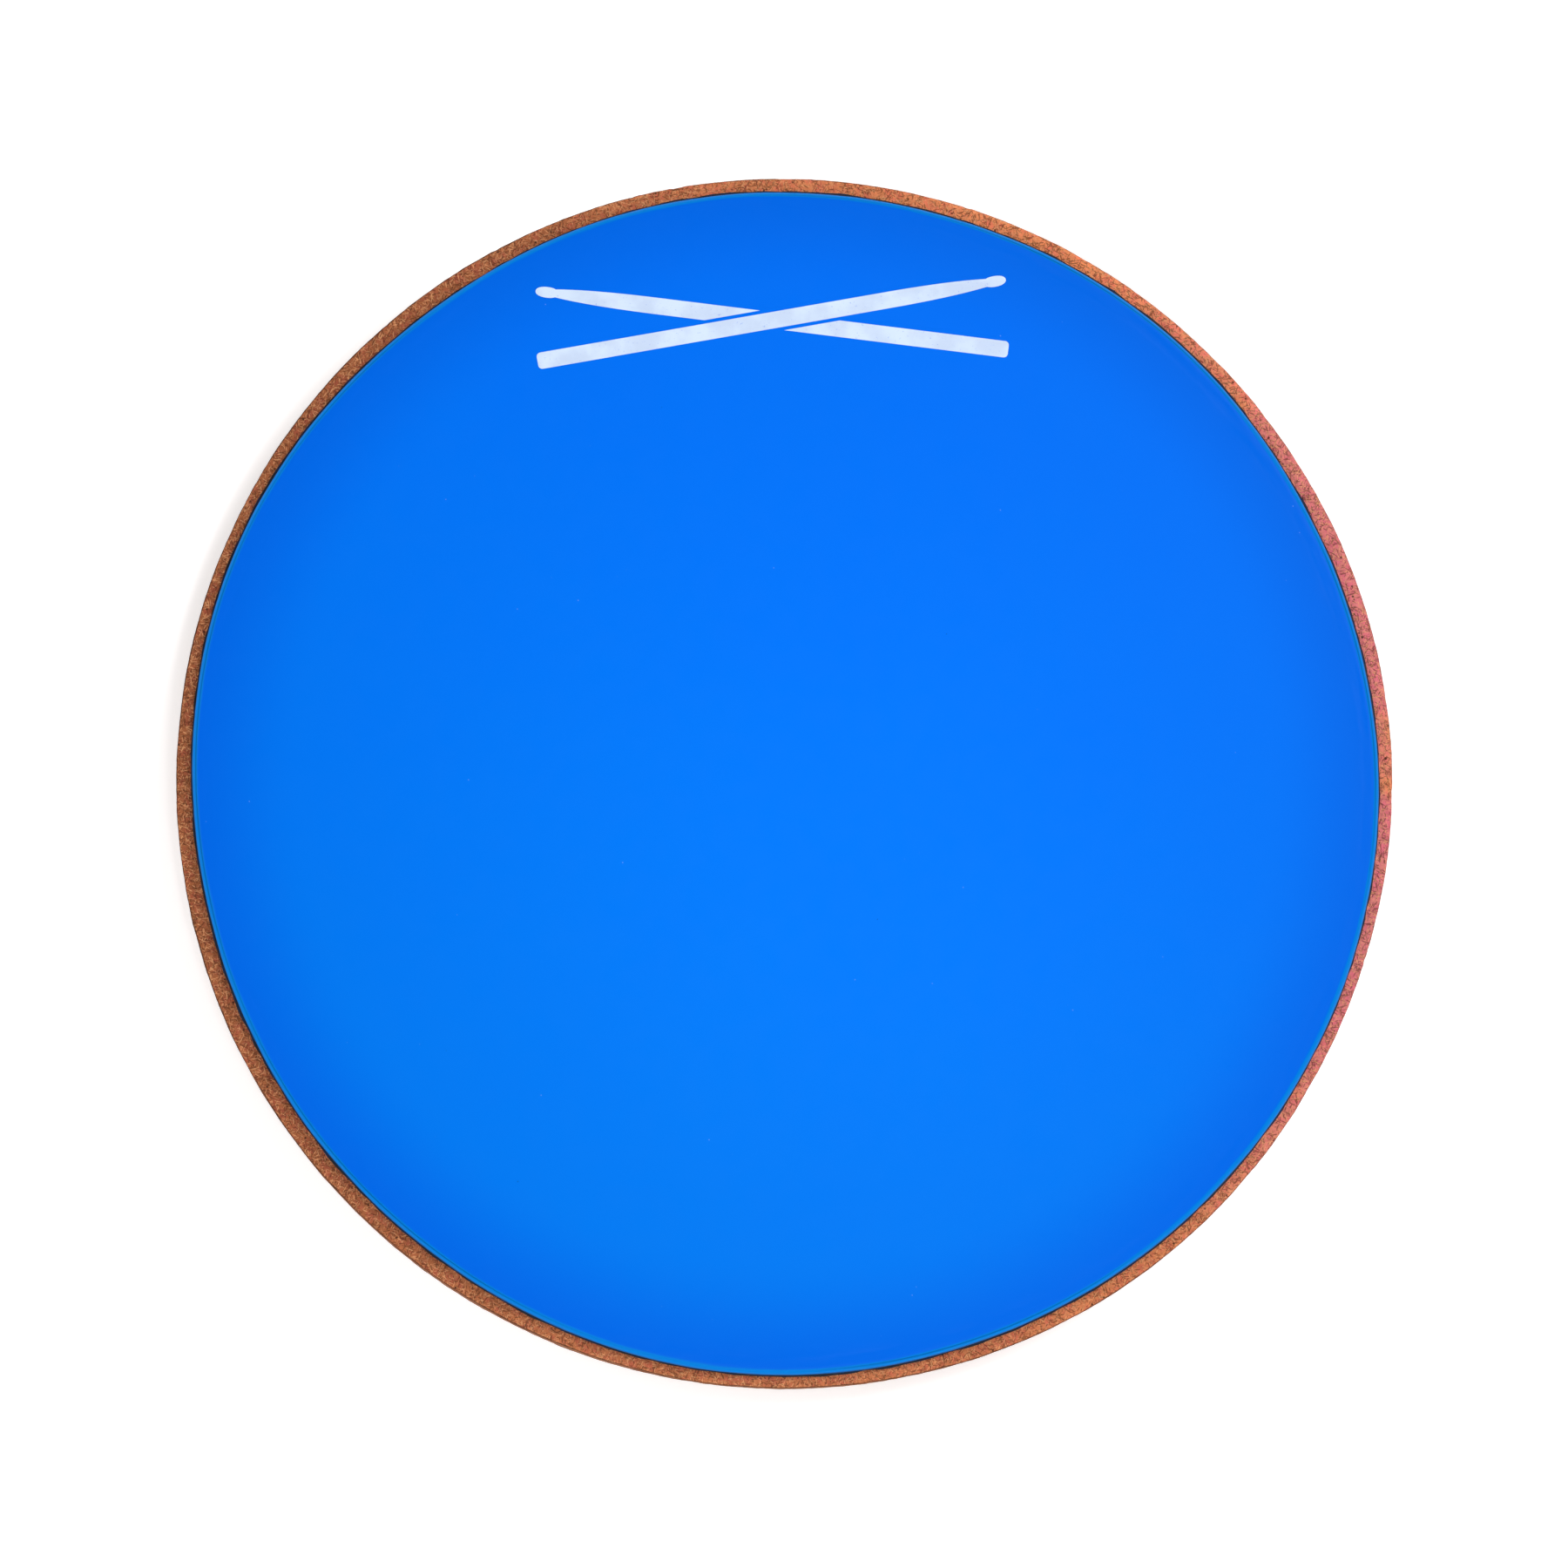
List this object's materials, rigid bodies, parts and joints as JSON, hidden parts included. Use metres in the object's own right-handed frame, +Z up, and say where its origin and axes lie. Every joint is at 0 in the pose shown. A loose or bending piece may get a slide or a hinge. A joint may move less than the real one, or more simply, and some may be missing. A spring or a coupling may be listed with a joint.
{
  "type": "practice pad",
  "caption": "Round drummer's practice pad: a smooth silicone playing surface bonded to a fibreboard disc, with a non-slip rubber backing.",
  "frame": {"origin": "centre of the backing's underside, on the surface that the pad rests on", "axes": "+Z up out of the playing surface, +Y towards the printed mark"},
  "size_m": [0.305, 0.305, 0.0196],
  "materials": {
    "silicone": "satin, smooth",
    "print": "matte screen ink",
    "adhesive": "dull",
    "fibreboard": "raw, unsealed",
    "backing_rubber": "matte, finely embossed"
  },
  "bodies": {
    "root": {"playing_surface": "silicone", "surface_print": "print", "surface_bond": "adhesive", "base_board": "fibreboard", "backing_bond": "adhesive", "non_slip_backing": "backing_rubber"}
  },
  "joints": []
}
